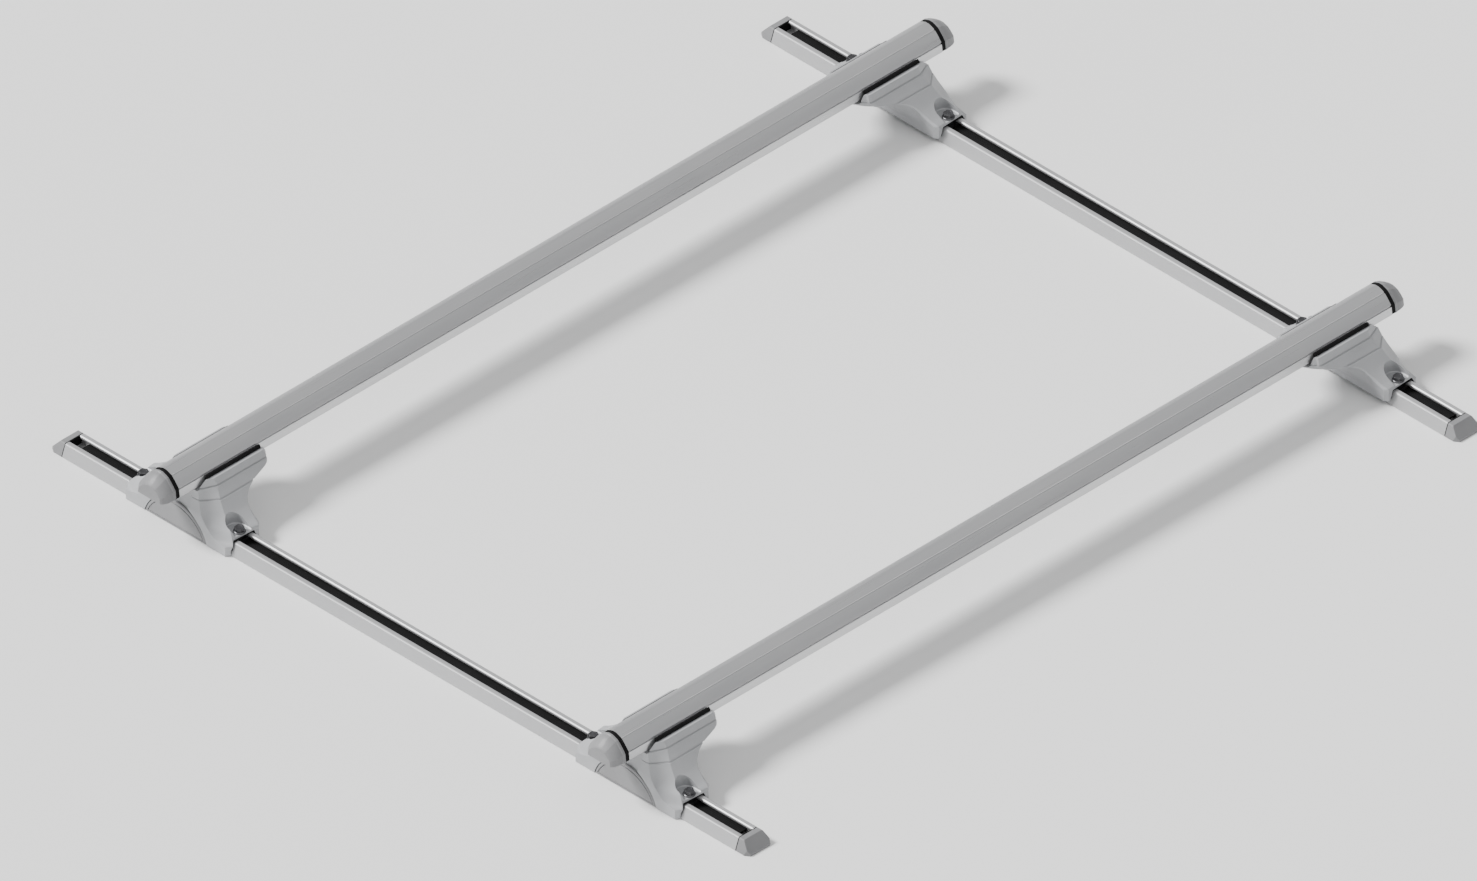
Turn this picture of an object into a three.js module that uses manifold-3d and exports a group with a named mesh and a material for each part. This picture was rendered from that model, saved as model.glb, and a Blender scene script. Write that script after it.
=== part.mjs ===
// Track-mounted roof rack: two crossbars on four towers, which slide along two slotted roof tracks.
// Millimetres. X runs across the vehicle, along the crossbars. Y runs along the tracks, and -Y is
// the front of the rack. Z is up, and the undersides of the tracks lie on z = 0.
import * as THREE from 'three';
import { mergeVertices } from 'three/addons/utils/BufferGeometryUtils.js';
import Module from 'manifold-3d';

const wasm = await Module();
wasm.setup();

// ---------------------------------------------------------------- driving dimensions

const GAP = 0.3; // clearance between two parts that touch
const PAST = 5; // how far a cutter runs past the face that it cuts
const ROUND_STEPS = 20; // sides of a screw, bolt or hole

const TRACK_SPACING = 1228; // centre to centre
const TRACK_LENGTH = 1167; // the extrusion without its end caps
const TRACK_CAP_LENGTH = 21.5;
const TRACK_BASE_HALF = 21.75;
const TRACK_TOP_HALF = 15.75;
const TRACK_HEIGHT = 18;
const TRACK_FOOT_EDGE = 2; // upright edge at the bottom of each side
const SLOT_MOUTH_HALF = 8.25;
const SLOT_HALF = 12;
const SLOT_LIP = 3.5;
const SLOT_FLOOR = 5;
const STRIP_TOP = 10.2; // top of the rubber strip that lies in the slot

const BAR_HALF_LENGTH = 663.5;
const BAR_CAP_LENGTH = 24;
const BAR_SPACING = 779;
const BAR_OFFSET = -9; // the two bars' middle, measured from the middle of the tracks
const BAR_BOTTOM = 68;
const BAR_HEIGHT = 31;
const BAR_BOTTOM_HALF = 26.25;
const BAR_SHOULDER = [24.75, 12.9];
const BAR_CREASE = [12.4, 27.2];
const BAR_LAND_HALF = 2.6; // flat land along the top of the bar
const BAR_WALL = 2.6;
const CHANNEL_MOUTH_HALF = 5;
const CHANNEL_HALF = 9.5;
const CHANNEL_LIP = 3;
const CHANNEL_TOP = 10;

const LEG_BOTTOM = 0.8;
const LEG_TOP = 76;
const SADDLE_FLOOR = 64.7;
const SADDLE_HALF = 29.5;
const FOOT_HALF_LENGTH = 91.5;
const FOOT_OUTER = -28; // outer face of the leg, inward from the track's centre line
const INNER_EDGE = 7.4; // lower edge of the leg's inner side, clear of the roof
const PAD_THICKNESS = 2;
const PAD_START = 8; // height of the base pad's lower edges, beside the track
const LINER_TOP = 80.4; // top of the saddle's rubber liner, just under the bar's shoulders
const POCKET_HALF = 13.5;
const POCKET_FLOOR = 23;
const POCKET_Y = 77.5; // centre of the pocket's round inner end
const CLAMP_BOLT_Y = 83;
const BOLT_RADIUS = 4;
const BAR_BOLT_X = 78;
const BAR_BOLT_SEAT = 57;
const COVER_HALF = 52.5;
const COVER_BOTTOM = 1;
const COVER_TOP = 40;
const COVER_THICKNESS = 2.8;

// ---------------------------------------------------------------- materials

const finish = (color, metalness, roughness) =>
  new THREE.MeshStandardMaterial({ color, metalness, roughness });

const MATERIAL = {
  extrusion: finish(0xc9ccd0, 0.9, 0.35),
  casting: finish(0xb4b7ba, 0.3, 0.5),
  cover: finish(0xa2a5a8, 0.1, 0.55),
  cap: finish(0x9a9da0, 0.0, 0.6),
  rubber: finish(0x18191a, 0.0, 0.85),
  steel: finish(0x3a3b3d, 0.9, 0.4),
};

// ---------------------------------------------------------------- geometry helpers

const turn = new THREE.Matrix4();

// A 2-D outline as a three.js shape, with optional holes.
function shapeOf(points, ...holes) {
  const shape = new THREE.Shape(points.map(([a, b]) => new THREE.Vector2(a, b)));
  for (const hole of holes) {
    shape.holes.push(new THREE.Path(hole.map(([a, b]) => new THREE.Vector2(a, b))));
  }
  return shape;
}

function extrude(shape, length) {
  return new THREE.ExtrudeGeometry(shape, { depth: length, bevelEnabled: false, steps: 1 });
}

// Extrudes an outline given as (y, z) along X, from one x to another.
function alongX(shape, from, to) {
  turn.set(0, 0, 1, from, 1, 0, 0, 0, 0, 1, 0, 0, 0, 0, 0, 1);
  return extrude(shape, to - from).applyMatrix4(turn);
}

// Extrudes an outline given as (x, z) along Y, from one y to another.
function alongY(shape, from, to) {
  turn.set(1, 0, 0, 0, 0, 0, -1, to, 0, 1, 0, 0, 0, 0, 0, 1);
  return extrude(shape, to - from).applyMatrix4(turn);
}

// Extrudes an outline given as (x, y) upwards, from one z to another.
function alongZ(shape, from, to) {
  return extrude(shape, to - from).translate(0, 0, from);
}

function box(x0, x1, y0, y1, z0, z1) {
  return new THREE.BoxGeometry(x1 - x0, y1 - y0, z1 - z0)
    .translate((x0 + x1) / 2, (y0 + y1) / 2, (z0 + z1) / 2);
}

// An upright round body on the axis (x, y), from one z to another.
function post(x, y, radius, z0, z1, sides = ROUND_STEPS) {
  return new THREE.CylinderGeometry(radius, radius, z1 - z0, sides)
    .rotateX(Math.PI / 2)
    .translate(x, y, (z0 + z1) / 2);
}

// A closed body through rings of points, which all have the same count and the same sense.
function loft(rings) {
  const count = rings[0].length;
  const positions = rings.flat(2);
  const faces = [];
  for (let r = 0; r + 1 < rings.length; r += 1) {
    for (let i = 0; i < count; i += 1) {
      const j = (i + 1) % count;
      const low = r * count;
      const high = low + count;
      faces.push(low + i, low + j, high + j, low + i, high + j, high + i);
    }
  }
  const ends = [[rings[0], 0, true], [rings.at(-1), (rings.length - 1) * count, false]];
  for (const [ring, first, flipped] of ends) {
    const centre = positions.length / 3;
    positions.push(...[0, 1, 2].map((k) => ring.reduce((sum, p) => sum + p[k], 0) / count));
    for (let i = 0; i < count; i += 1) {
      const j = (i + 1) % count;
      faces.push(centre, ...(flipped ? [first + j, first + i] : [first + i, first + j]));
    }
  }
  const geometry = new THREE.BufferGeometry();
  geometry.setAttribute('position', new THREE.Float32BufferAttribute(positions, 3));
  geometry.setIndex(faces);
  return geometry;
}

function solidOf(geometry) {
  const bare = geometry.clone();
  bare.deleteAttribute('normal');
  bare.deleteAttribute('uv');
  const merged = mergeVertices(bare, 1e-4);
  return new wasm.Manifold(new wasm.Mesh({
    numProp: 3,
    vertProperties: new Float32Array(merged.attributes.position.array),
    triVerts: new Uint32Array(merged.index.array),
  }));
}

function geometryOf(solid) {
  const mesh = solid.getMesh();
  const geometry = new THREE.BufferGeometry();
  geometry.setAttribute('position', new THREE.Float32BufferAttribute(mesh.vertProperties, 3));
  geometry.setIndex(Array.from(mesh.triVerts));
  return geometry;
}

const join = (...pieces) => geometryOf(pieces.map(solidOf).reduce((sum, piece) => sum.add(piece)));

const cut = (body, ...cutters) =>
  geometryOf(cutters.map(solidOf).reduce((rest, cutter) => rest.subtract(cutter), solidOf(body)));

const common = (...pieces) =>
  geometryOf(pieces.map(solidOf).reduce((rest, piece) => rest.intersect(piece)));

// The same body on the other side of the plane x = 0, with its faces still pointing out.
function mirrored(geometry) {
  const copy = mergeVertices(geometry.clone().scale(-1, 1, 1));
  const index = copy.index.array;
  for (let i = 0; i < index.length; i += 3) {
    [index[i], index[i + 1]] = [index[i + 1], index[i]];
  }
  return copy;
}

// Points of an arc from one point to another, bulging to the left of the way by the sagitta.
function arc(from, to, sagitta, steps) {
  const chord = Math.hypot(to[0] - from[0], to[1] - from[1]);
  const radius = (chord * chord / 4 + sagitta * sagitta) / (2 * sagitta);
  const half = Math.asin(chord / 2 / radius);
  const along = [(to[0] - from[0]) / chord, (to[1] - from[1]) / chord];
  const left = [-along[1], along[0]];
  const points = [];
  for (let i = 0; i <= steps; i += 1) {
    const angle = half * (2 * i / steps - 1);
    const a = chord / 2 + radius * Math.sin(angle);
    const b = radius * (Math.cos(angle) - Math.cos(half));
    points.push([from[0] + along[0] * a + left[0] * b, from[1] + along[1] * a + left[1] * b]);
  }
  return points;
}

const mirrorPoints = (points) => points.map(([a, b]) => [-a, b]).reverse();

// ---------------------------------------------------------------- tracks

const trackHalfAt = (z) => z <= TRACK_FOOT_EDGE
  ? TRACK_BASE_HALF
  : TRACK_BASE_HALF + (TRACK_TOP_HALF - TRACK_BASE_HALF)
    * (z - TRACK_FOOT_EDGE) / (TRACK_HEIGHT - TRACK_FOOT_EDGE);

const TRACK_OUTLINE_HALF = [
  [TRACK_BASE_HALF, 0], [TRACK_BASE_HALF, TRACK_FOOT_EDGE], [TRACK_TOP_HALF, TRACK_HEIGHT],
];
const SCREW_HOLE_RADIUS = 2.9;
const SCREW_PLACES = { front: -500, middle: 0, rear: 500 };

function trackGeometry() {
  const lipBottom = TRACK_HEIGHT - SLOT_LIP;
  const half = [
    ...TRACK_OUTLINE_HALF, [SLOT_MOUTH_HALF, TRACK_HEIGHT], [SLOT_MOUTH_HALF, lipBottom],
    [SLOT_HALF, lipBottom], [SLOT_HALF, SLOT_FLOOR],
  ];
  const body = alongY(shapeOf([...half, ...mirrorPoints(half)]), -TRACK_LENGTH / 2, TRACK_LENGTH / 2);
  const holes = Object.values(SCREW_PLACES)
    .map((y) => post(0, y, SCREW_HOLE_RADIUS, -PAST, SLOT_FLOOR + PAST));
  return cut(body, ...holes);
}

// End cap of a track, at its +Y end: the track's outline with a sloping, narrowed nose, and a
// tongue that fills the slot.
function trackCapGeometry() {
  const joint = TRACK_LENGTH / 2 + GAP;
  const tip = TRACK_LENGTH / 2 + TRACK_CAP_LENGTH;
  const tongue = 12;
  const slope = 13; // how far the top edge of the nose stays behind its bottom edge
  const noseHeight = 3;
  const corner = 7;
  const noseHalf = 17;
  const outlinePoints = [...TRACK_OUTLINE_HALF, ...mirrorPoints(TRACK_OUTLINE_HALF)];
  const outline = alongY(shapeOf(outlinePoints), joint, tip);
  const side = alongX(shapeOf([
    [joint - PAST, -PAST], [tip, -PAST], [tip, noseHeight],
    [tip - slope, TRACK_HEIGHT], [joint - PAST, TRACK_HEIGHT],
  ]), -TRACK_BASE_HALF - PAST, TRACK_BASE_HALF + PAST);
  const planHalf = [
    [TRACK_BASE_HALF, joint - PAST], [TRACK_BASE_HALF, tip - corner], [noseHalf, tip],
  ];
  const plan = alongZ(shapeOf([...planHalf, ...mirrorPoints(planHalf)]), -PAST, TRACK_HEIGHT + PAST);
  const key = box(-SLOT_HALF + GAP, SLOT_HALF - GAP, joint - GAP - tongue, joint + 1,
    SLOT_FLOOR + GAP, TRACK_HEIGHT - SLOT_LIP - GAP);
  return join(common(outline, side, plan), key);
}

// Rubber strip lying in the slot on two side feet, over the heads of the fixing screws.
function slotStripGeometry() {
  const half = SLOT_HALF - GAP;
  const footWidth = 2;
  const top = 2;
  const length = TRACK_LENGTH - 28;
  const outline = [
    [-half, SLOT_FLOOR + GAP], [-half + footWidth, SLOT_FLOOR + GAP],
    [-half + footWidth, STRIP_TOP - top], [half - footWidth, STRIP_TOP - top],
    [half - footWidth, SLOT_FLOOR + GAP], [half, SLOT_FLOOR + GAP], [half, STRIP_TOP], [-half, STRIP_TOP],
  ];
  return alongY(shapeOf(outline), -length / 2, length / 2);
}

function trackScrewGeometry(y) {
  const headRadius = 6;
  const headTop = STRIP_TOP - 2 - GAP;
  const shank = post(0, y, SCREW_HOLE_RADIUS - GAP, GAP, SLOT_FLOOR + 1);
  return join(shank, post(0, y, headRadius, SLOT_FLOOR + GAP, headTop));
}

// ---------------------------------------------------------------- crossbars

// Right half of the crossbar's outline as (y, z), from the bottom edge to the land on top.
const BAR_OUTLINE_HALF = [
  [BAR_BOTTOM_HALF - 1, 0], [BAR_BOTTOM_HALF, 1.2],
  ...arc(BAR_SHOULDER, BAR_CREASE, -1, 3),
  ...arc(BAR_CREASE, [BAR_LAND_HALF, BAR_HEIGHT], -0.6, 2).slice(1),
];

function barGeometry() {
  const channelHalf = [
    [CHANNEL_HALF, CHANNEL_TOP], [CHANNEL_HALF, CHANNEL_LIP], [CHANNEL_MOUTH_HALF, CHANNEL_LIP],
    [CHANNEL_MOUTH_HALF, 0],
  ];
  const half = [...channelHalf, ...BAR_OUTLINE_HALF];
  const innerHalf = [
    [CHANNEL_HALF + 2.2, CHANNEL_TOP + BAR_WALL], [CHANNEL_HALF + 2.2, BAR_WALL],
    [BAR_BOTTOM_HALF - BAR_WALL, BAR_WALL], [BAR_SHOULDER[0] - BAR_WALL, BAR_SHOULDER[1] - 0.5],
    [BAR_CREASE[0] - 1.1, BAR_CREASE[1] - BAR_WALL], [BAR_LAND_HALF, BAR_HEIGHT - BAR_WALL],
  ];
  const section = shapeOf([...half, ...mirrorPoints(half)], [...innerHalf, ...mirrorPoints(innerHalf)]);
  return alongX(section, -BAR_HALF_LENGTH, BAR_HALF_LENGTH);
}

// End cap of a crossbar, at its +X end: a hood that slopes down to a blunt, rounded tip.
function barCapGeometry() {
  const full = [...BAR_OUTLINE_HALF, ...mirrorPoints(BAR_OUTLINE_HALF)];
  const stations = [ // distance from the bar's end, share of its width, share of its height
    [GAP, 1, 1], [4.5, 1, 1], [11, 0.985, 0.93], [17, 0.93, 0.8], [21.5, 0.82, 0.68],
    [BAR_CAP_LENGTH, 0.66, 0.58],
  ];
  const rings = stations.map(([x, width, height]) =>
    full.map(([y, z]) => [BAR_HALF_LENGTH + x, y * width, z * height]));
  const plugLength = 14;
  const plug = box(BAR_HALF_LENGTH - plugLength, BAR_HALF_LENGTH + 2, -9, 9,
    CHANNEL_TOP + BAR_WALL + GAP * 2, BAR_HEIGHT - 8);
  return join(loft(rings), plug);
}

// ---------------------------------------------------------------- towers

// A tower is modelled about the crossing of its track's centre line and its bar's centre plane:
// +x points inwards to the middle of the vehicle, and its front and rear halves are alike.
//
// Each station is one level of the leg, given for its front half. nose is how far the rounded
// inner end reaches on the centre plane. The outline then passes the inner side's corner, the
// inner end of the front face, the first crease, the second crease and the outer side's corner,
// each as [x, distance from the centre plane], and ends on the outer side.
const LEG_STATIONS = [
  { z: LEG_BOTTOM, nose: 29, side: [29, 70], turn: [28.5, 87], face: [25, 91.5],
    crease: [-20, 91.5], crease2: [-28, 86], corner: [-28, 50], outer: -28 },
  { z: 14, nose: 29.5, side: [29.5, 70], turn: [28.8, 87], face: [25, 91.5],
    crease: [-20, 91.5], crease2: [-28, 86], corner: [-28, 50], outer: -28 },
  { z: 18.5, nose: 31.5, side: [29.8, 68], turn: [29, 87], face: [25, 91.2],
    crease: [-19.3, 90.2], crease2: [-28, 66], corner: [-28, 40], outer: -28 },
  { z: 25, nose: 38, side: [30.8, 64], turn: [29.6, 86], face: [25.2, 90.5],
    crease: [-17, 86], crease2: [-28, 57.5], corner: [-28, 32], outer: -28 },
  { z: 28.5, nose: 42, side: [31.5, 61], turn: [30.8, 78.5], face: [27, 82.5],
    crease: [-15, 82], crease2: [-28, 54], corner: [-28, 29], outer: -28 },
  { z: 38, nose: 54, side: [34.5, 57], turn: [34, 64.5], face: [31.5, 67.5],
    crease: [-8, 67.5], crease2: [-26.5, 44], corner: [-26.5, 20], outer: -26.5 },
  { z: 47, nose: 70, side: [43, 51.5], turn: [42, 56], face: [39, 58],
    crease: [-4, 58], crease2: [-23.7, 38], corner: [-23.7, 18], outer: -23.7 },
  { z: 55, nose: 88, side: [61, 45], turn: [59.5, 49], face: [56, 50.4],
    crease: [-1.5, 51], crease2: [-21.2, 34.3], corner: [-21.2, 16], outer: -21.2 },
  { z: 61, nose: 105, side: [86, 40.5], turn: [85, 43.8], face: [81, 45],
    crease: [2, 45.2], crease2: [-19.5, 31.5], corner: [-19.5, 15], outer: -19.5 },
  { z: 67.5, nose: 110, side: [93, 35], turn: [92, 38.4], face: [88, 39.5],
    crease: [5, 39.5], crease2: [-18, 29.5], corner: [-18, 14], outer: -18 },
  { z: LEG_TOP, nose: 108, side: [91, 31], turn: [90, 33.6], face: [86, 34.5],
    crease: [4.5, 34.5], crease2: [-15.5, 25], corner: [-15.5, 12], outer: -15.5 },
];
const NOSE_STEPS = 10;

function legRing({ z, nose, side, turn: corner, face, crease, crease2, corner: outerCorner, outer }) {
  const bulge = Math.max(nose - side[0], 0.02);
  const noseArc = arc([side[0], -side[1]], [side[0], side[1]], -bulge, NOSE_STEPS);
  const rear = [corner, face, crease, crease2, outerCorner];
  const front = [...rear].reverse().map(([x, y]) => [x, -y]);
  return [[outer, 0], ...front, ...noseArc, ...rear].map(([x, y]) => [x, y, z]);
}

// Outline (x, z) of the space that the leg and its rubber pad need over the track, grown by a step.
function trackJacket(grow, from) {
  return [
    [trackHalfAt(from) + grow, from], [TRACK_TOP_HALF + grow, TRACK_HEIGHT],
    [TRACK_TOP_HALF + grow / 2, TRACK_HEIGHT + grow],
  ];
}

// The arched outline (y, z) of the side cover, grown by a step on its curved edge.
function coverArch(grow) {
  const half = COVER_HALF + grow;
  return arc([half, COVER_BOTTOM], [-half, COVER_BOTTOM], -(COVER_TOP + grow - COVER_BOTTOM), 18);
}

function legGeometry() {
  const padSpace = GAP * 2 + PAD_THICKNESS;
  const reach = FOOT_HALF_LENGTH + PAST;
  const spaceHalf = [
    [TRACK_BASE_HALF + 0.5, LEG_BOTTOM - PAST], [TRACK_BASE_HALF + 0.5, PAD_START - 1],
    ...trackJacket(padSpace, PAD_START),
  ];
  const space = alongY(shapeOf([...spaceHalf, ...mirrorPoints(spaceHalf)]), -reach, reach);
  const clearance = box(0, TRACK_BASE_HALF * 2, -reach, reach, LEG_BOTTOM - PAST, INNER_EDGE);
  const saddle = box(-60, 150, -SADDLE_HALF, SADDLE_HALF, SADDLE_FLOOR, LEG_TOP + PAST);
  const arch = coverArch(GAP);
  const below = [arch.at(-1), arch[0]].map(([y]) => [y, LEG_BOTTOM - PAST]);
  const innerWall = FOOT_OUTER + COVER_THICKNESS + GAP;
  const recess = alongX(shapeOf([...arch, ...below]), FOOT_OUTER - PAST, innerWall);
  const barHole = post(BAR_BOLT_X, 0, BOLT_RADIUS + 0.4, 30, LEG_TOP);
  const barSeat = post(BAR_BOLT_X, 0, 8, 20, BAR_BOLT_SEAT);
  const pockets = [-1, 1].flatMap((end) => {
    const [low, high] = [end * POCKET_Y, end * reach].sort((a, b) => a - b);
    return [
      post(0, end * POCKET_Y, POCKET_HALF, POCKET_FLOOR, LEG_TOP),
      box(-POCKET_HALF, POCKET_HALF, low, high, POCKET_FLOOR, LEG_TOP),
      post(0, end * CLAMP_BOLT_Y, BOLT_RADIUS + 0.6, TRACK_HEIGHT, POCKET_FLOOR + 1),
    ];
  });
  const cutters = [space, clearance, saddle, recess, barHole, barSeat, ...pockets];
  return cut(loft(LEG_STATIONS.map(legRing)), ...cutters);
}

// Rubber pad between the leg and the track.
function basePadGeometry() {
  const outer = trackJacket(GAP + PAD_THICKNESS, PAD_START);
  const inner = trackJacket(GAP, PAD_START);
  const innerLeft = inner.map(([x, z]) => [-x, z]);
  const outline = [...outer, ...mirrorPoints(outer), ...innerLeft, ...inner.reverse()];
  const length = FOOT_HALF_LENGTH - 1;
  const holes = [-1, 1].map((end) =>
    post(0, end * CLAMP_BOLT_Y, BOLT_RADIUS + 1, TRACK_HEIGHT - PAST, TRACK_HEIGHT + PAST));
  return cut(alongY(shapeOf(outline), -length, length), ...holes);
}

// Rubber liner of the saddle: a floor under the bar, and two low walls beside it.
function saddlePadGeometry() {
  const half = SADDLE_HALF - GAP;
  const bottom = SADDLE_FLOOR + GAP;
  const wallInner = BAR_BOTTOM_HALF + GAP;
  const floor = box(-15, 98, -20, 20, bottom, BAR_BOTTOM - GAP);
  const right = [
    [half, bottom], [half, LINER_TOP], [wallInner, LINER_TOP], [wallInner, BAR_BOTTOM - GAP],
  ];
  const trough = alongX(shapeOf([...right, ...mirrorPoints(right)]), -3, 90);
  const hole = post(BAR_BOLT_X, 0, BOLT_RADIUS + 0.8, bottom - PAST, BAR_BOTTOM + PAST);
  return cut(join(floor, trough), hole);
}

function sideCoverGeometry() {
  return alongX(shapeOf(coverArch(0)), FOOT_OUTER, FOOT_OUTER + COVER_THICKNESS);
}

// Flanged hex bolt that clamps the leg to the nut in the track's slot.
function clampBoltGeometry(y) {
  const seat = POCKET_FLOOR + GAP;
  const flange = post(0, y, 8.2, seat, seat + 2);
  const head = post(0, y, 7, seat + 1, seat + 6.5, 6);
  return join(post(0, y, BOLT_RADIUS, STRIP_TOP + 0.4, seat + 1), flange, head);
}

function clampNutGeometry(y) {
  const top = TRACK_HEIGHT - SLOT_LIP - GAP;
  const half = SLOT_HALF - 0.5;
  const halfLength = 8;
  const plate = box(-half, half, y - halfLength, y + halfLength, STRIP_TOP + 0.6, top);
  return cut(plate, post(0, y, BOLT_RADIUS + GAP, 0, TRACK_HEIGHT));
}

// Socket-head bolt that holds the crossbar down on the saddle, from below.
function barBoltGeometry() {
  const head = post(BAR_BOLT_X, 0, 6.5, BAR_BOLT_SEAT - GAP - 6, BAR_BOLT_SEAT - GAP);
  const socket = post(BAR_BOLT_X, 0, 3.4, BAR_BOLT_SEAT - PAST * 2, BAR_BOLT_SEAT - 3.5, 6);
  const shank = post(BAR_BOLT_X, 0, BOLT_RADIUS, BAR_BOLT_SEAT - 1, BAR_BOTTOM + 9);
  return cut(join(head, shank), socket);
}

function barNutGeometry() {
  const half = CHANNEL_HALF - 0.5;
  const plate = box(BAR_BOLT_X - 11, BAR_BOLT_X + 11, -half, half,
    BAR_BOTTOM + CHANNEL_LIP + GAP, BAR_BOTTOM + CHANNEL_LIP + 5);
  return cut(plate, post(BAR_BOLT_X, 0, BOLT_RADIUS + GAP, BAR_BOTTOM, BAR_BOTTOM + CHANNEL_TOP));
}

// ---------------------------------------------------------------- assembly

const rack = new THREE.Group();

function place(name, geometry, material, parent) {
  const mesh = new THREE.Mesh(geometry, MATERIAL[material]);
  mesh.name = name;
  mesh.geometry.computeVertexNormals();
  parent.add(mesh);
  return mesh;
}

const ENDS = { front: -1, rear: 1 };
const SIDES = { left: -1, right: 1 };
const rotateHalf = (geometry) => geometry.clone().rotateZ(Math.PI);

for (const [sideName, side] of Object.entries(SIDES)) {
  const track = new THREE.Group();
  track.position.x = side * TRACK_SPACING / 2;
  rack.add(track);
  place(`${sideName}_track`, trackGeometry(), 'extrusion', track);
  place(`${sideName}_slot_strip`, slotStripGeometry(), 'rubber', track);
  for (const [endName, end] of Object.entries(ENDS)) {
    const cap = end > 0 ? trackCapGeometry() : rotateHalf(trackCapGeometry());
    place(`${sideName}_track_cap_${endName}`, cap, 'cap', track);
  }
  for (const [placeName, y] of Object.entries(SCREW_PLACES)) {
    place(`${sideName}_track_screw_${placeName}`, trackScrewGeometry(y), 'steel', track);
  }
}

for (const [endName, end] of Object.entries(ENDS)) {
  const crossing = BAR_OFFSET + end * BAR_SPACING / 2;
  const bar = new THREE.Group();
  bar.position.set(0, crossing, BAR_BOTTOM);
  rack.add(bar);
  place(`${endName}_crossbar`, barGeometry(), 'extrusion', bar);
  place(`${endName}_bar_cap_right`, barCapGeometry(), 'cap', bar);
  place(`${endName}_bar_cap_left`, rotateHalf(barCapGeometry()), 'cap', bar);

  for (const [sideName, side] of Object.entries(SIDES)) {
    const tower = new THREE.Group();
    tower.position.set(side * TRACK_SPACING / 2, crossing, 0);
    rack.add(tower);
    const pieces = [
      ['leg', legGeometry(), 'casting'],
      ['base_pad', basePadGeometry(), 'rubber'],
      ['saddle_pad', saddlePadGeometry(), 'rubber'],
      ['side_cover', sideCoverGeometry(), 'cover'],
      ['clamp_bolt_front', clampBoltGeometry(-CLAMP_BOLT_Y), 'steel'],
      ['clamp_bolt_rear', clampBoltGeometry(CLAMP_BOLT_Y), 'steel'],
      ['clamp_nut_front', clampNutGeometry(-CLAMP_BOLT_Y), 'steel'],
      ['clamp_nut_rear', clampNutGeometry(CLAMP_BOLT_Y), 'steel'],
      ['bar_bolt', barBoltGeometry(), 'steel'],
      ['bar_nut', barNutGeometry(), 'steel'],
    ];
    for (const [pieceName, geometry, material] of pieces) {
      const turned = side > 0 ? mirrored(geometry) : geometry;
      place(`${endName}_${sideName}_${pieceName}`, turned, material, tower);
    }
  }
}

export default rack;
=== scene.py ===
"""Track-mounted roof rack: the fine surfaces, materials, floor, light and camera around the CAD frame.

Sizes in capitals are millimetres, and every place comes from the frame's own boxes. A tower is
modelled once, about the crossing of its track's centre line and its bar's centre plane: +x points
inwards to the middle of the vehicle. It is then placed, or mirrored, at each of the four crossings.
"""
import math

import bmesh
import bpy
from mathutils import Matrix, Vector
from mathutils.geometry import tessellate_polygon


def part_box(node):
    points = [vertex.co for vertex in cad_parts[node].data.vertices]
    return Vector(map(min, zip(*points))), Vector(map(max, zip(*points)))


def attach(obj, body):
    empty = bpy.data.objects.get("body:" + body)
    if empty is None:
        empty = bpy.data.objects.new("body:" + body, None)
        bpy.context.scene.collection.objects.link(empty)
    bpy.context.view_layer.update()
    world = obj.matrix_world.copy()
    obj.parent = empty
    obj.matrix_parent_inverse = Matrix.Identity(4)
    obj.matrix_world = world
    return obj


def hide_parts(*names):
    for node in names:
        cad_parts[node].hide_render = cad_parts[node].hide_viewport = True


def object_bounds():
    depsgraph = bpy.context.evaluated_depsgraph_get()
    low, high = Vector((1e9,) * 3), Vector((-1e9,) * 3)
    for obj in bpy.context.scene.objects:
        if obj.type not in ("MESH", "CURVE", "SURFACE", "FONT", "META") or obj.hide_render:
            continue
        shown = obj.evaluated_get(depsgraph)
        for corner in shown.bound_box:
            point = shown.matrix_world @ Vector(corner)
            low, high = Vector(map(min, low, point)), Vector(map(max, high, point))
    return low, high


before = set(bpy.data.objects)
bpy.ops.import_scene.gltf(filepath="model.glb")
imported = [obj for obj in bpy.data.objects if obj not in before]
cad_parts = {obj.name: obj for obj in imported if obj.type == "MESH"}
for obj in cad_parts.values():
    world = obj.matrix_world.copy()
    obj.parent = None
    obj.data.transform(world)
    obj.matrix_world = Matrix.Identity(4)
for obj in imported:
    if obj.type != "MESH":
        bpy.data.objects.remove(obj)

CAD_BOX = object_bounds()
MM = 0.001
SIDES = {"left": -1, "right": 1}
ENDS = {"front": -1, "rear": 1}

# ---------------------------------------------------------------- places taken from the frame


def middle(node, axis):
    low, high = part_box(node)
    return (low[axis] + high[axis]) / 2 / MM


TRACK_X = {side: middle(f"{side}_track", 0) for side in SIDES}
BAR_Y = {end: middle(f"{end}_crossbar", 1) for end in ENDS}
TRACK_LOW, TRACK_HIGH = [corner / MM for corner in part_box("left_track")]
BAR_LOW, BAR_HIGH = [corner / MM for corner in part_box("front_crossbar")]
CAP_TIP_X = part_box("front_bar_cap_right")[1].x / MM
CAP_TIP_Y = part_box("left_track_cap_rear")[1].y / MM
LEG_LOW, LEG_HIGH = [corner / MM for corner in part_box("front_left_leg")]
COVER_LOW, COVER_HIGH = [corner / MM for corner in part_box("front_left_side_cover")]
STRIP_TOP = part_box("left_slot_strip")[1].z / MM
STRIP_HALF_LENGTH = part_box("left_slot_strip")[1].y / MM

TRACK_HALF_LENGTH = TRACK_HIGH.y
TRACK_HEIGHT = TRACK_HIGH.z
TRACK_BASE_HALF = (TRACK_HIGH.x - TRACK_LOW.x) / 2
TRACK_LEAN = 6  # how far each side of the track leans in towards its top
TRACK_TOP_HALF = TRACK_BASE_HALF - TRACK_LEAN
TRACK_FOOT_EDGE = 2
SLOT_MOUTH_HALF, SLOT_HALF, SLOT_LIP, SLOT_FLOOR = 8.25, 12, 3.5, 5

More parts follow.
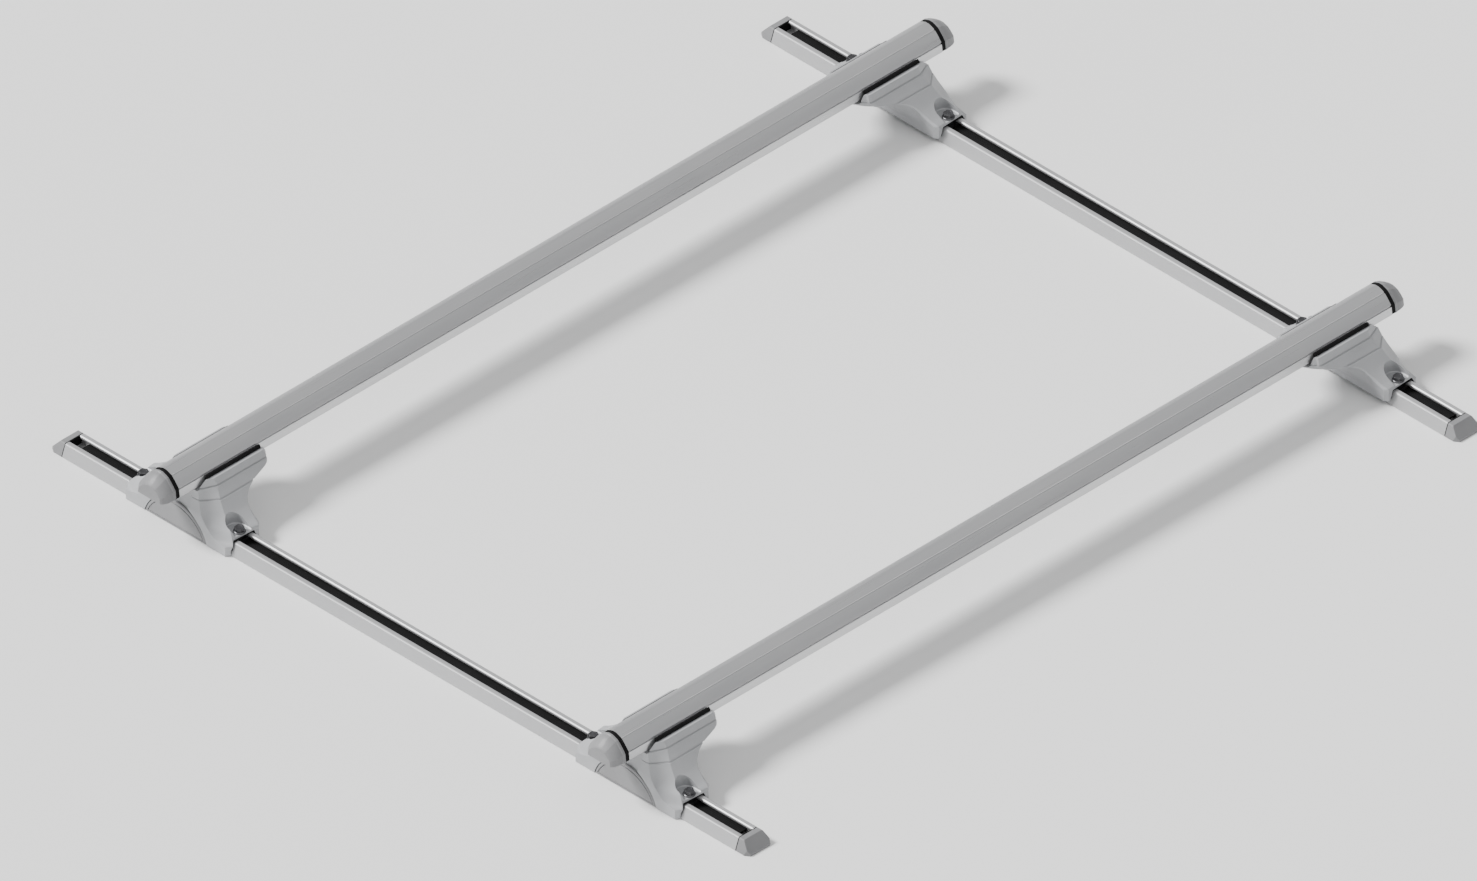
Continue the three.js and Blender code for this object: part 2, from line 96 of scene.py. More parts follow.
BAR_HALF_LENGTH = BAR_HIGH.x
BAR_BOTTOM = BAR_LOW.z
BAR_HEIGHT = BAR_HIGH.z - BAR_LOW.z
BAR_BOTTOM_HALF = (BAR_HIGH.y - BAR_LOW.y) / 2
BAR_SHOULDER, BAR_CREASE, BAR_LAND_HALF = (24.75, 12.9), (12.4, 27.2), 2.6
BAR_WALL = 2.6
CHANNEL_MOUTH_HALF, CHANNEL_HALF, CHANNEL_LIP, CHANNEL_TOP = 5, 9.5, 3, 10

LEG_TOP = LEG_HIGH.z
FOOT_HALF_LENGTH = (LEG_HIGH.y - LEG_LOW.y) / 2
FOOT_OUTER = LEG_LOW.x - TRACK_X["left"]
SADDLE_FLOOR, SADDLE_HALF = 64.7, 29.5
POCKET_HALF, POCKET_FLOOR, POCKET_Y, CLAMP_BOLT_Y = 13.5, 23, 77.5, 83
LINER_TOP = 80.4
LINER_ENDS = (-3, 90)
INNER_EDGE = 7.4  # lower edge of the leg's inner side
PAD_START, PAD_THICKNESS = 8, 2
BAR_BOLT_X, BAR_BOLT_SEAT, BAR_BOLT_SEAT_RADIUS = 78, 57, 8
COVER_HALF = (COVER_HIGH.y - COVER_LOW.y) / 2
COVER_BOTTOM, COVER_TOP = COVER_LOW.z, COVER_HIGH.z
COVER_THICKNESS = COVER_HIGH.x - COVER_LOW.x
GAP = 0.3  # between neighbouring pieces
PAST = 6  # how far a cutter reaches past what it cuts
BAR_SEAL, TRACK_SEAL = 6, 1.4  # widths of the dark rings behind the end caps
SEAL_LAP = 0.2  # how far a ring runs in under its neighbours
AXIS = 0.01  # radius that stands for a turned shape's axis

# ---------------------------------------------------------------- materials


def new_material(name, color, metallic, roughness):
    material = bpy.data.materials.new(name)
    material.use_nodes = True
    shader = material.node_tree.nodes["Principled BSDF"]
    shader.inputs["Base Color"].default_value = (*color, 1)
    shader.inputs["Metallic"].default_value = metallic
    shader.inputs["Roughness"].default_value = roughness
    return material, shader


def add_noise(material, scale, stretch=(1, 1, 1), detail=4, roughness=0.5):
    """Noise over the object's own metres, stretched along one axis where stretch is small."""
    nodes, links = material.node_tree.nodes, material.node_tree.links
    place = nodes.new("ShaderNodeTexCoord")
    mapping = nodes.new("ShaderNodeMapping")
    mapping.inputs["Scale"].default_value = stretch
    noise = nodes.new("ShaderNodeTexNoise")
    noise.inputs["Scale"].default_value = scale
    noise.inputs["Detail"].default_value = detail
    noise.inputs["Roughness"].default_value = roughness
    links.new(place.outputs["Object"], mapping.inputs["Vector"])
    links.new(mapping.outputs["Vector"], noise.inputs["Vector"])
    return noise.outputs["Fac"]


def ramp_between(material, factor, low, high):
    """A colour or grey that follows a factor between two values."""
    first, last = 0.3, 0.7  # noise keeps near its middle, so the ends of its range are left out
    ramp = material.node_tree.nodes.new("ShaderNodeValToRGB")
    ramp.color_ramp.elements[0].position = first
    ramp.color_ramp.elements[1].position = last
    ramp.color_ramp.elements[0].color = (*low, 1)
    ramp.color_ramp.elements[1].color = (*high, 1)
    material.node_tree.links.new(factor, ramp.inputs["Fac"])
    return ramp.outputs["Color"]


def add_bump(material, shader, height, strength, distance):
    bump = material.node_tree.nodes.new("ShaderNodeBump")
    bump.inputs["Strength"].default_value = strength
    bump.inputs["Distance"].default_value = distance
    material.node_tree.links.new(height, bump.inputs["Height"])
    material.node_tree.links.new(bump.outputs["Normal"], shader.inputs["Normal"])


def grey(value):
    return (value, value, value)


def drawn_aluminium(name, stretch, tone, metallic=0.85, gloss=(0.27, 0.4)):
    """Satin anodised extrusion, with die lines drawn along its length."""
    bright = (tone, tone, tone * 1.01)
    dull = (tone * 0.96, tone * 0.965, tone * 0.98)
    material, shader = new_material(name, bright, metallic, gloss[0])
    lines = add_noise(material, scale=520, stretch=stretch, detail=3)
    cloud = add_noise(material, scale=9, detail=2)
    color = ramp_between(material, cloud, dull, bright)
    rough = ramp_between(material, lines, grey(gloss[0]), grey(gloss[1]))
    links = material.node_tree.links
    links.new(color, shader.inputs["Base Color"])
    links.new(rough, shader.inputs["Roughness"])
    add_bump(material, shader, lines, strength=0.12, distance=0.00015)
    return material


def grained(name, low, high, grain_scale, grain_strength, rough, metallic=0.0, specular=0.5):
    """Powder coat, moulded plastic or rubber: a fine grain over a faint change of colour."""
    material, shader = new_material(name, high, metallic, rough[1])
    grain = add_noise(material, grain_scale, detail=2)
    cloud = add_noise(material, scale=14, detail=5, roughness=0.6)
    links = material.node_tree.links
    links.new(ramp_between(material, cloud, low, high), shader.inputs["Base Color"])
    links.new(ramp_between(material, grain, grey(rough[0]), grey(rough[1])), shader.inputs["Roughness"])
    add_bump(material, shader, grain, grain_strength, distance=0.0003)
    shader.inputs["Specular IOR Level"].default_value = specular
    return material


def turned_steel(name):
    """Black plated steel, with fine turning marks round an upright axis."""
    material, shader = new_material(name, (0.1, 0.1, 0.105), metallic=0.9, roughness=0.35)
    scratch = add_noise(material, scale=900, stretch=(1, 1, 0.1), detail=3)
    links = material.node_tree.links
    links.new(ramp_between(material, scratch, grey(0.25), grey(0.45)), shader.inputs["Roughness"])
    cloud = add_noise(material, scale=120, detail=2)
    color = ramp_between(material, cloud, (0.075, 0.075, 0.08), (0.12, 0.12, 0.125))
    links.new(color, shader.inputs["Base Color"])
    add_bump(material, shader, scratch, strength=0.1, distance=0.0001)
    return material


ALONG_X, ALONG_Y = (0.01, 1, 1), (1, 0.01, 1)  # stretch of the die lines on an extrusion
MATERIAL = {
    "bar_aluminium": drawn_aluminium("bar_aluminium", ALONG_X, tone=0.56),
    "track_aluminium": drawn_aluminium(
        "track_aluminium", ALONG_Y, tone=0.46, metallic=0.6, gloss=(0.42, 0.55)),
    "leg_coating": grained(
        "leg_coating", (0.35, 0.355, 0.365), (0.40, 0.405, 0.415),
        grain_scale=900, grain_strength=0.35, rough=(0.38, 0.52), metallic=0.2),
    "cover_plastic": grained(
        "cover_plastic", (0.20, 0.20, 0.205), (0.24, 0.24, 0.245),
        grain_scale=1500, grain_strength=0.3, rough=(0.45, 0.6)),
    "cap_plastic": grained(
        "cap_plastic", (0.18, 0.18, 0.185), (0.22, 0.22, 0.225),
        grain_scale=1500, grain_strength=0.3, rough=(0.42, 0.58)),
    "black_rubber": grained(
        "black_rubber", (0.003, 0.003, 0.0032), (0.006, 0.006, 0.0063),
        grain_scale=700, grain_strength=0.4, rough=(0.7, 0.9), specular=0.15),
    "dark_steel": turned_steel("dark_steel"),
}

# ---------------------------------------------------------------- mesh helpers


def object_from(name, points, faces):
    mesh = bpy.data.meshes.new(name)
    mesh.from_pydata([Vector(p) * MM for p in points], [], faces)
    shape = bmesh.new()
    shape.from_mesh(mesh)
    bmesh.ops.remove_doubles(shape, verts=shape.verts, dist=1e-7)
    bmesh.ops.recalc_face_normals(shape, faces=shape.faces)
    shape.to_mesh(mesh)
    shape.free()
    made = bpy.data.objects.new(name, mesh)
    bpy.context.scene.collection.objects.link(made)
    return made


def settle(made):
    """Turns the object's modifiers into mesh."""
    graph = bpy.context.evaluated_depsgraph_get()
    mesh = bpy.data.meshes.new_from_object(made.evaluated_get(graph))
    made.modifiers.clear()
    made.data = mesh
    return made


def bevelled(made, width, segments, angle):
    """Rounds the edges that turn by more than an angle, by a width in millimetres."""
    bevel = made.modifiers.new("edges", "BEVEL")
    bevel.width = width * MM
    bevel.segments = segments
    bevel.limit_method = "ANGLE"
    bevel.angle_limit = math.radians(angle)
    bevel.miter_outer = "MITER_ARC"
    return settle(made)


def weighted(made):
    """Flat faces keep their own normals, so only the rounded edges between them shade round."""
    made.modifiers.new("normals", "WEIGHTED_NORMAL").keep_sharp = True
    return settle(made)


def carve(made, *cutters):
    """Cuts each cutter out of a body, and removes the cutter."""
    for cutter in cutters:
        cut = made.modifiers.new("cut", "BOOLEAN")
        cut.operation = "DIFFERENCE"
        cut.solver = "EXACT"
        cut.object = cutter
        settle(made)
        bpy.data.objects.remove(cutter)
    return made


def dress(made, material, body, *replaced, sharp=30):
    """Gives a piece its material, shading and body, and hides the CAD nodes that it stands for."""
    made.data.materials.clear()
    made.data.materials.append(MATERIAL[material])
    made.data.shade_smooth()
    made.data.set_sharp_from_angle(angle=math.radians(sharp))
    weighted(made)
    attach(made, body)
    if replaced:
        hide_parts(*replaced)
    return made


def copy_to(made, name, x, y, mirror=False, turn=False):
    """A copy of a finished mesh at another place, mirrored across its own x = 0 or y = 0 where asked."""
    mesh = made.data.copy()
    for vertex in mesh.vertices:
        if mirror:
            vertex.co.x = -vertex.co.x
        if turn:
            vertex.co.y = -vertex.co.y
        vertex.co += Vector((x, y, 0)) * MM
    if mirror != turn:
        mesh.flip_normals()
    mesh.name = name
    copy = bpy.data.objects.new(name, mesh)
    bpy.context.scene.collection.objects.link(copy)
    return copy


def loft(name, rings):
    """A body through rings of points; each end is closed by one flat face."""
    count = len(rings[0])
    points = [point for ring in rings for point in ring]
    faces = []
    for r in range(len(rings) - 1):
        for i in range(count):
            j = (i + 1) % count
            faces.append((r * count + i, r * count + j, (r + 1) * count + j, (r + 1) * count + i))
    faces.append(tuple(range(count)))
    faces.append(tuple((len(rings) - 1) * count + i for i in range(count)))
    return object_from(name, points, faces)


def along(axis, name, outline, start, end, hole=None):
    """A section extruded along X or Y. The outline is (y, z) for X, and (x, z) for Y."""
    def place(a, b, at):
        return (at, a, b) if axis == "x" else (a, at, b)
    loops = [outline] + ([hole] if hole else [])
    flat = [point for ring in loops for point in ring]
    points = [place(a, b, start) for a, b in flat] + [place(a, b, end) for a, b in flat]
    faces = []
    first = 0
    for ring in loops:
        for i in range(len(ring)):
            low, high = first + i, first + (i + 1) % len(ring)
            faces.append((low, high, high + len(flat), low + len(flat)))
        first += len(ring)
    triangles = tessellate_polygon([[Vector((a, b, 0)) for a, b in ring] for ring in loops])
    for triangle in triangles:
        faces.append(tuple(triangle))
        faces.append(tuple(index + len(flat) for index in triangle))
    return object_from(name, points, faces)


def box(name, x0, x1, y0, y1, z0, z1):
    return along("x", name, [(y0, z0), (y1, z0), (y1, z1), (y0, z1)], x0, x1)


def lathe(name, profile, x=0, y=0, sides=48):
    """A closed (radius, z) profile, from axis to axis, turned about an upright axis."""
    rings = [[(x + r * math.cos(2 * math.pi * i / sides), y + r * math.sin(2 * math.pi * i / sides), z)
              for i in range(sides)] for r, z in profile]
    return loft(name, rings)


def arc(start, end, sagitta, steps):
    """Points of an arc between two points, bulging to the left of the way by the sagitta."""
    chord = math.dist(start, end)
    radius = (chord ** 2 / 4 + sagitta ** 2) / (2 * sagitta)
    half = math.asin(chord / 2 / radius)
    run = ((end[0] - start[0]) / chord, (end[1] - start[1]) / chord)
    points = []
    for i in range(steps + 1):
        angle = half * (2 * i / steps - 1)
        a = chord / 2 + radius * math.sin(angle)
        b = radius * (math.cos(angle) - math.cos(half))
        points.append((start[0] + run[0] * a - run[1] * b, start[1] + run[1] * a + run[0] * b))
    return points


def mirror_points(points):
    return [(-a, b) for a, b in reversed(points)]


def smooth_between(stations, z, keys):
    """Values of a station table at height z, on a smooth curve through its four nearest levels.

    The curve doesn't look past a level that is marked as sharp.
    """
    k = max(i for i in range(len(stations) - 1) if stations[i]["z"] <= z or i == 0)
    p0, p1 = stations[max(k - 1, 0)], stations[k]
    p2, p3 = stations[k + 1], stations[min(k + 2, len(stations) - 1)]
    if p1.get("sharp"):
        p0 = p1
    if p2.get("sharp"):
        p3 = p2
    t = (z - p1["z"]) / (p2["z"] - p1["z"])

    def slope(a, b, key, part):
        gap = b["z"] - a["z"]
        return (b[key][part] - a[key][part]) / gap if gap else 0

    values = {}
    for key in keys:
        made = []
        for part in range(len(p1[key])):
            run = p2["z"] - p1["z"]
            straight = slope(p1, p2, key, part)
            m1 = straight if p0 is p1 else (slope(p0, p1, key, part) + straight) / 2
            m2 = straight if p3 is p2 else (straight + slope(p2, p3, key, part)) / 2
            a, b = p1[key][part], p2[key][part]
            made.append((2 * t ** 3 - 3 * t ** 2 + 1) * a + (t ** 3 - 2 * t ** 2 + t) * run * m1
                        + (3 * t ** 2 - 2 * t ** 3) * b + (t ** 3 - t ** 2) * run * m2)
        values[key] = made
    return values


# ---------------------------------------------------------------- tracks


def track_side(z):
    """Half width of the track's outside at a height."""
    rise = max(z - TRACK_FOOT_EDGE, 0) / (TRACK_HEIGHT - TRACK_FOOT_EDGE)
    return TRACK_BASE_HALF + (TRACK_TOP_HALF - TRACK_BASE_HALF) * rise


def track_outside():
    """Right half of the track's outside, from the bottom edge to the top land's outer edge."""
    edge = 1.4
    return [
        (TRACK_BASE_HALF - 0.5, 0), (TRACK_BASE_HALF, 0.5), (TRACK_BASE_HALF, TRACK_FOOT_EDGE),
        (track_side(TRACK_HEIGHT - edge), TRACK_HEIGHT - edge),
        (track_side(TRACK_HEIGHT) - 0.35, TRACK_HEIGHT - 0.3), (TRACK_TOP_HALF - 1.3, TRACK_HEIGHT),
    ]


def make_track(side):
    """Low extrusion with leaning sides, and a T-slot along its top."""
    lip = TRACK_HEIGHT - SLOT_LIP
    half = track_outside() + [
        (SLOT_MOUTH_HALF + 1.6, TRACK_HEIGHT), (SLOT_MOUTH_HALF + 0.3, TRACK_HEIGHT - 0.9),
        (SLOT_MOUTH_HALF, TRACK_HEIGHT - 1.3), (SLOT_MOUTH_HALF, lip), (SLOT_HALF, lip),
        (SLOT_HALF, SLOT_FLOOR),
    ]
    outline = [(TRACK_X[side] + x, z) for x, z in half + mirror_points(half)]
    end = TRACK_HALF_LENGTH - TRACK_SEAL / 2
    body = along("y", f"{side}_track_rail", outline, -end, end)
    dress(body, "track_aluminium", "tracks", f"{side}_track", sharp=14)


def make_strip(side):
    """Rubber strip with fine ribs along it, on two side feet."""
    half, floor = SLOT_HALF - GAP, SLOT_FLOOR + GAP
    foot, sheet, ribs, rib_depth = 2, 2, 7, 0.6
    steps = ribs * 2
    top = [(half - 2 * half * i / steps, STRIP_TOP - (rib_depth if i % 2 else 0)) for i in range(steps + 1)]
    outline = [
        (-half, floor), (-half + foot, floor), (-half + foot, STRIP_TOP - sheet),
        (half - foot, STRIP_TOP - sheet), (half - foot, floor), (half, floor), *top,
    ]
    outline = [(TRACK_X[side] + x, z) for x, z in outline]
    body = along("y", f"{side}_slot_rubber", outline, -STRIP_HALF_LENGTH, STRIP_HALF_LENGTH)
    dress(body, "black_rubber", "tracks", f"{side}_slot_strip", sharp=20)


def nose_cutters(tip):
    """Cutters for the nose of a track's end cap: one slope over its end, and one at each corner."""
    slope, nose_height, corner, nose_half = 13, 3, 7, 17
    wide, high = TRACK_BASE_HALF + PAST, TRACK_HEIGHT + PAST
    over = [(tip - slope, TRACK_HEIGHT), (tip, nose_height), (tip + PAST, nose_height),
            (tip + PAST, high), (tip - slope, high)]
    cutters = [loft("slope_cutter", [[(x, y, z) for y, z in over] for x in (-wide, wide)])]
    beside = [(TRACK_BASE_HALF + 0.01, tip - corner), (nose_half, tip), (nose_half, tip + PAST),
              (wide, tip + PAST), (wide, tip - corner)]
    for way in (-1, 1):
        rings = [[(way * x, y, z) for x, y in beside] for z in (-PAST, high)]
        cutters.append(loft("corner_cutter", rings))
    return cutters


def make_track_cap(side, end_name, end):
    """Wedge nose at the end of a track: a sloping end face and two cut corners, with a dark gasket."""
    half = track_outside()
    outline = half + mirror_points(half)
    start = TRACK_HALF_LENGTH + TRACK_SEAL / 2
    body = along("y", f"{side}_track_nose_{end_name}", outline, start, CAP_TIP_Y)
    carve(body, *nose_cutters(CAP_TIP_Y))
    bevelled(body, 1.1, 3, 12)
    cap = copy_to(body, f"{side}_track_end_{end_name}", TRACK_X[side], 0, turn=end < 0)
    bpy.data.objects.remove(body)
    dress(cap, "cap_plastic", "tracks", f"{side}_track_cap_{end_name}", sharp=35)
    inset = [(TRACK_X[side] + x * 0.985, SEAL_LAP + z * 0.98) for x, z in outline]
    reach = TRACK_SEAL / 2 + SEAL_LAP
    spans = sorted(end * (TRACK_HALF_LENGTH + way * reach) for way in (-1, 1))
    gasket = along("y", f"{side}_track_gasket_{end_name}", inset, *spans)
    dress(gasket, "black_rubber", "tracks")


def make_track_screw(side, place):
    """Pan-head screw with a rounded rim, under the rubber strip."""
    low, high = [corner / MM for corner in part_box(f"{side}_track_screw_{place}")]
    x, y = (low.x + high.x) / 2, (low.y + high.y) / 2
    radius, shank, seat = (high.x - low.x) / 2, 2.6, SLOT_FLOOR + GAP
    profile = [(AXIS, low.z), (shank - 0.4, low.z), (shank, low.z + 0.6), (shank, seat), (radius, seat),
               (radius, high.z - 1.4), (radius - 0.5, high.z - 0.5), (radius - 1.5, high.z), (AXIS, high.z)]
    screw = lathe(f"{side}_roof_screw_{place}", profile, x, y, 32)
    dress(screw, "dark_steel", "tracks", f"{side}_track_screw_{place}")


# ---------------------------------------------------------------- crossbars


def bar_half(grooves=True):
    """Right half of the bar's outline as (y, z), with a fine groove at the crease and the shoulder."""
    side = arc(BAR_SHOULDER, BAR_CREASE, -0.5, 8)
    crown = arc(BAR_CREASE, (BAR_LAND_HALF, BAR_HEIGHT), -0.2, 6)
    if grooves:
        (sy, sz), (cy, cz) = BAR_SHOULDER, BAR_CREASE
        shoulder_groove = [
            (sy + 0.15, sz - 1.6), (sy - 1.5, sz - 1.3), (sy - 1.6, sz + 0.6), (sy - 0.55, sz + 1),
        ]
        crease_groove = [(cy + 0.75, cz - 0.8), (cy - 0.35, cz - 1.15), (cy - 0.95, cz + 0.38)]
        side = shoulder_groove + side[1:-1] + crease_groove
        crown = crown[1:]
    lower = [(BAR_BOTTOM_HALF - 1.2, 0), (BAR_BOTTOM_HALF - 0.35, 0.35), (BAR_BOTTOM_HALF, 1.2)]
    return lower + side + crown


def make_bar(end):
    """Hollow extrusion with a T-slot channel along its underside."""
    channel = [
        (CHANNEL_HALF, CHANNEL_TOP), (CHANNEL_HALF, CHANNEL_LIP), (CHANNEL_MOUTH_HALF, CHANNEL_LIP),
        (CHANNEL_MOUTH_HALF, 0.5), (CHANNEL_MOUTH_HALF + 0.5, 0),
    ]
    half = channel + bar_half()
    beside_channel = CHANNEL_HALF + 2.2
    inner_half = [
        (beside_channel, CHANNEL_TOP + BAR_WALL), (beside_channel, BAR_WALL),
        (BAR_BOTTOM_HALF - BAR_WALL, BAR_WALL),
        (BAR_SHOULDER[0] - BAR_WALL - 1.6, BAR_SHOULDER[1] - 0.5),
        (BAR_CREASE[0] - 1.6, BAR_CREASE[1] - BAR_WALL - 0.6), (BAR_LAND_HALF, BAR_HEIGHT - BAR_WALL),
    ]
    y, z = BAR_Y[end], BAR_BOTTOM
    outline = [(y + a, z + b) for a, b in half + mirror_points(half)]
    hollow = [(y + a, z + b) for a, b in inner_half + mirror_points(inner_half)]
    reach = BAR_HALF_LENGTH - BAR_SEAL / 2
    body = along("x", f"{end}_bar_extrusion", outline, -reach, reach, hollow)
    dress(body, "bar_aluminium", f"{end}_bar", f"{end}_crossbar", sharp=13)


# Hood of a bar's end cap: distance from its start, then the share of the bar's width and height.
HOOD = [
    {"z": 0, "share": (1, 1)},
    {"z": 3.4, "share": (1, 1), "sharp": True},
    {"z": 9, "share": (0.985, 0.93)},
    {"z": 15, "share": (0.93, 0.8)},
    {"z": 19.3, "share": (0.83, 0.68)},
    {"z": 21.8, "share": (0.7, 0.58)},
]


def make_bar_cap(end, side_name, side):
    """Blunt hood that closes the bar, behind a dark seal ring. The bar's creases run on over it."""
    full = bar_half(grooves=False)
    full = full + mirror_points(full)
    start = BAR_HALF_LENGTH + BAR_SEAL / 2
    length = CAP_TIP_X - start
    y0, z0 = BAR_Y[end], BAR_BOTTOM
    rings = []
    steps = 24
    for i in range(steps + 1):
        at = length * math.sin(i / steps * math.pi / 2)
        width, height = smooth_between(HOOD, min(at, HOOD[-1]["z"]), ["share"])["share"]
        ledge = 0.98 if at > HOOD[1]["z"] else 1
        x = side * (start + at)
        rings.append([(x, y0 + a * width * ledge, z0 + b * height * ledge) for a, b in full])
    body = loft(f"{end}_bar_hood_{side_name}", rings)
    bevelled(body, 1.4, 3, 45)
    dress(body, "cap_plastic", f"{end}_bar", f"{end}_bar_cap_{side_name}", sharp=13)
    inset = [(y0 + a * 0.985, z0 + SEAL_LAP + b * 0.985) for a, b in full]
    reach = BAR_SEAL / 2 + SEAL_LAP
    spans = sorted(side * (BAR_HALF_LENGTH + way * reach) for way in (-1, 1))
    seal = along("x", f"{end}_bar_seal_{side_name}", inset, *spans)
    dress(seal, "black_rubber", f"{end}_bar")


# ---------------------------------------------------------------- towers

# Levels of the leg, from the foot up. nose is how far the rounded inner end reaches, and outer is
# the outer side. The rest are corners of the outline's front half, as x and distance from the
# centre plane; above the arched cover, corner is the edge of the shallow recess.
LEG_STATIONS = [
    {"z": 0.8, "nose": (29.5,), "side": (29.5, 70), "turn": (28.8, 87), "face": (25, 91.5),
     "crease": (-20, 91.5), "crease2": (-28, 86), "corner": (-28, 50), "outer": (-28,), "sharp": True},
    {"z": 14, "nose": (29.5,), "side": (29.5, 70), "turn": (28.8, 87), "face": (25, 91.5),
     "crease": (-20, 91.5), "crease2": (-28, 86), "corner": (-28, 50), "outer": (-28,), "sharp": True},
    {"z": 18.5, "nose": (31.5,), "side": (29.8, 68), "turn": (29, 87), "face": (25, 91.2),
     "crease": (-19.3, 90.2), "crease2": (-28, 66), "corner": (-28, 40), "outer": (-28,)},
    {"z": 25, "nose": (38,), "side": (30.8, 64), "turn": (29.6, 86), "face": (25.2, 90.5),
     "crease": (-17, 86), "crease2": (-28, 57.5), "corner": (-28, 32), "outer": (-28,)},
    {"z": 28.5, "nose": (42,), "side": (31.5, 61), "turn": (30.8, 78.5), "face": (27, 82.5),
     "crease": (-15, 82), "crease2": (-28, 54), "corner": (-28, 18.3), "outer": (-28,)},
    {"z": 38, "nose": (54,), "side": (34.5, 57), "turn": (34, 64.5), "face": (31.5, 67.5),
     "crease": (-8, 67.5), "crease2": (-26.5, 44), "corner": (-26.5, 19.5), "outer": (-26.5,)},
    {"z": 47, "nose": (70,), "side": (43, 51.5), "turn": (42, 56), "face": (39, 58),
     "crease": (-4, 58), "crease2": (-23.7, 38), "corner": (-23.7, 20.8), "outer": (-23.7,)},
    {"z": 55, "nose": (88,), "side": (61, 45), "turn": (59.5, 49), "face": (56, 50.4),
     "crease": (-1.5, 51), "crease2": (-21.2, 34.3), "corner": (-21.2, 22), "outer": (-21.2,)},
    {"z": 61, "nose": (105,), "side": (86, 40.5), "turn": (85, 43.8), "face": (81, 45),
     "crease": (2, 45.2), "crease2": (-19.5, 31.5), "corner": (-19.5, 22.4), "outer": (-19.5,)},
    {"z": 67.5, "nose": (110,), "side": (93, 35), "turn": (92, 38.4), "face": (88, 39.5),
     "crease": (5, 39.5), "crease2": (-18, 29.5), "corner": (-18, 22.6), "outer": (-18,), "sharp": True},
    {"z": 76, "nose": (108,), "side": (91, 31), "turn": (90, 33.6), "face": (86, 34.5),
     "crease": (4.5, 34.5), "crease2": (-15.5, 25), "corner": (-15.5, 21), "outer": (-15.5,), "sharp": True},
]
CORNER_KEYS = ["outer", "corner", "crease2", "crease", "face", "turn"]
LINE_HEIGHTS, LINE_HALF, LINE_DEPTH = (55, 67.5), 1.1, 1.6
LINE_STEPS = (26, 5)  # rings between each line and the one under it
BROW_START, BROW_DEPTH = 26, 1.8  # the recess above the arched cover


def leg_ring(z, depth):
    """Outline of the leg at one height, with its front half drawn in by a groove's depth.

    Above the arched cover, the outer side has a shallow recess between its two corners.
    """
    value = smooth_between(LEG_STATIONS, z, CORNER_KEYS + ["nose", "side"])
    front = [value["corner"]]
    for key in CORNER_KEYS[2:]:
        x, y = value[key]
        inwards = depth * 0.7 if key == "crease2" else 0
        front.append((x + inwards, y - depth))
    front = [(x, -y) for x, y in front]
    nose_x, (side_x, side_y) = value["nose"][0] - depth, value["side"]
    side_y -= depth
    least_bulge, nose_steps = 0.02, 28
    bulge = max(nose_x - side_x, least_bulge)
    nose = arc((side_x, -side_y), (side_x, side_y), -bulge, nose_steps)
    rear = [(x, -y) for x, y in reversed(front)]
    recess_wall = 0.8
    outer, edge = value["outer"][0], value["corner"][1] - recess_wall
    sunk = outer + (BROW_DEPTH if z > BROW_START else 0)
    ring = [(sunk, 0), (sunk, -edge)] + front + nose + rear + [(sunk, edge)]
    return [(x, y, z) for x, y in ring]


def leg_levels():
    """Heights of the rings, each with the groove's depth there. A groove runs along both front lines."""
    bottom, low = LEG_STATIONS[0]["z"], LEG_STATIONS[1]["z"]
    levels = [(bottom, 0), (low, 0)]
    for line, steps in zip(LINE_HEIGHTS, LINE_STEPS):
        high = line - LINE_HALF
        levels += [(low + (high - low) * i / steps, 0) for i in range(1, steps + 1)]
        for height in (line - LINE_HALF * 0.3, line + LINE_HALF * 0.3):
            levels.append((height, LINE_DEPTH))
        low = line + LINE_HALF
        levels.append((low, 0))
    return levels + [(72, 0), (LEG_TOP, 0)]


def track_jacket(grow, start):
    """Right half (x, z) of the space over the track, grown by a step, from one height up."""
    return [
        (track_side(start) + grow, start), (TRACK_TOP_HALF + grow, TRACK_HEIGHT),
        (TRACK_TOP_HALF + grow / 2, TRACK_HEIGHT + grow),
    ]


def cover_arch(grow, steps=48):
    half = COVER_HALF + grow
    return arc((half, COVER_BOTTOM), (-half, COVER_BOTTOM), -(COVER_TOP + grow - COVER_BOTTOM), steps)


def pocket_cutter(end):
    """Round-backed pocket for the clamp bolt, open to the foot's end, slightly wider at its top."""
    reach = end * (FOOT_HALF_LENGTH + PAST)
    edge, flare, steps = 1.2, 1.5, 24
    rings = []
    for z, grow in ((POCKET_FLOOR, -edge), (POCKET_FLOOR + edge, 0), (LEG_TOP + PAST, flare)):
        half = POCKET_HALF + grow
        turns = [math.pi * i / steps for i in range(steps + 1)]
        back = [(half * math.cos(turn), end * (POCKET_Y - half * math.sin(turn))) for turn in turns]
        rings.append([(x, y, z) for x, y in [(half, reach)] + back + [(-half, reach)]])
    return loft("pocket_cutter", rings)


def saddle_cutter():
    """Square notch for the bar across the leg, with cut lower corners."""
    corner, low, top = 2, SADDLE_FLOOR, LEG_TOP + PAST
    right = [(SADDLE_HALF - corner, low), (SADDLE_HALF, low + corner), (SADDLE_HALF, top)]
    start, end = -60, 150  # past both sides of the leg
    return along("x", "saddle_cutter", right + mirror_points(right), start, end)


def recess_cutter():
    """Arched seat of the side cover, open downwards."""
    arch = cover_arch(grow=1.3)
    outline = arch + [(arch[-1][0], -PAST), (arch[0][0], -PAST)]
    return along("x", "recess_cutter", outline, FOOT_OUTER - PAST, FOOT_OUTER + COVER_THICKNESS + GAP)


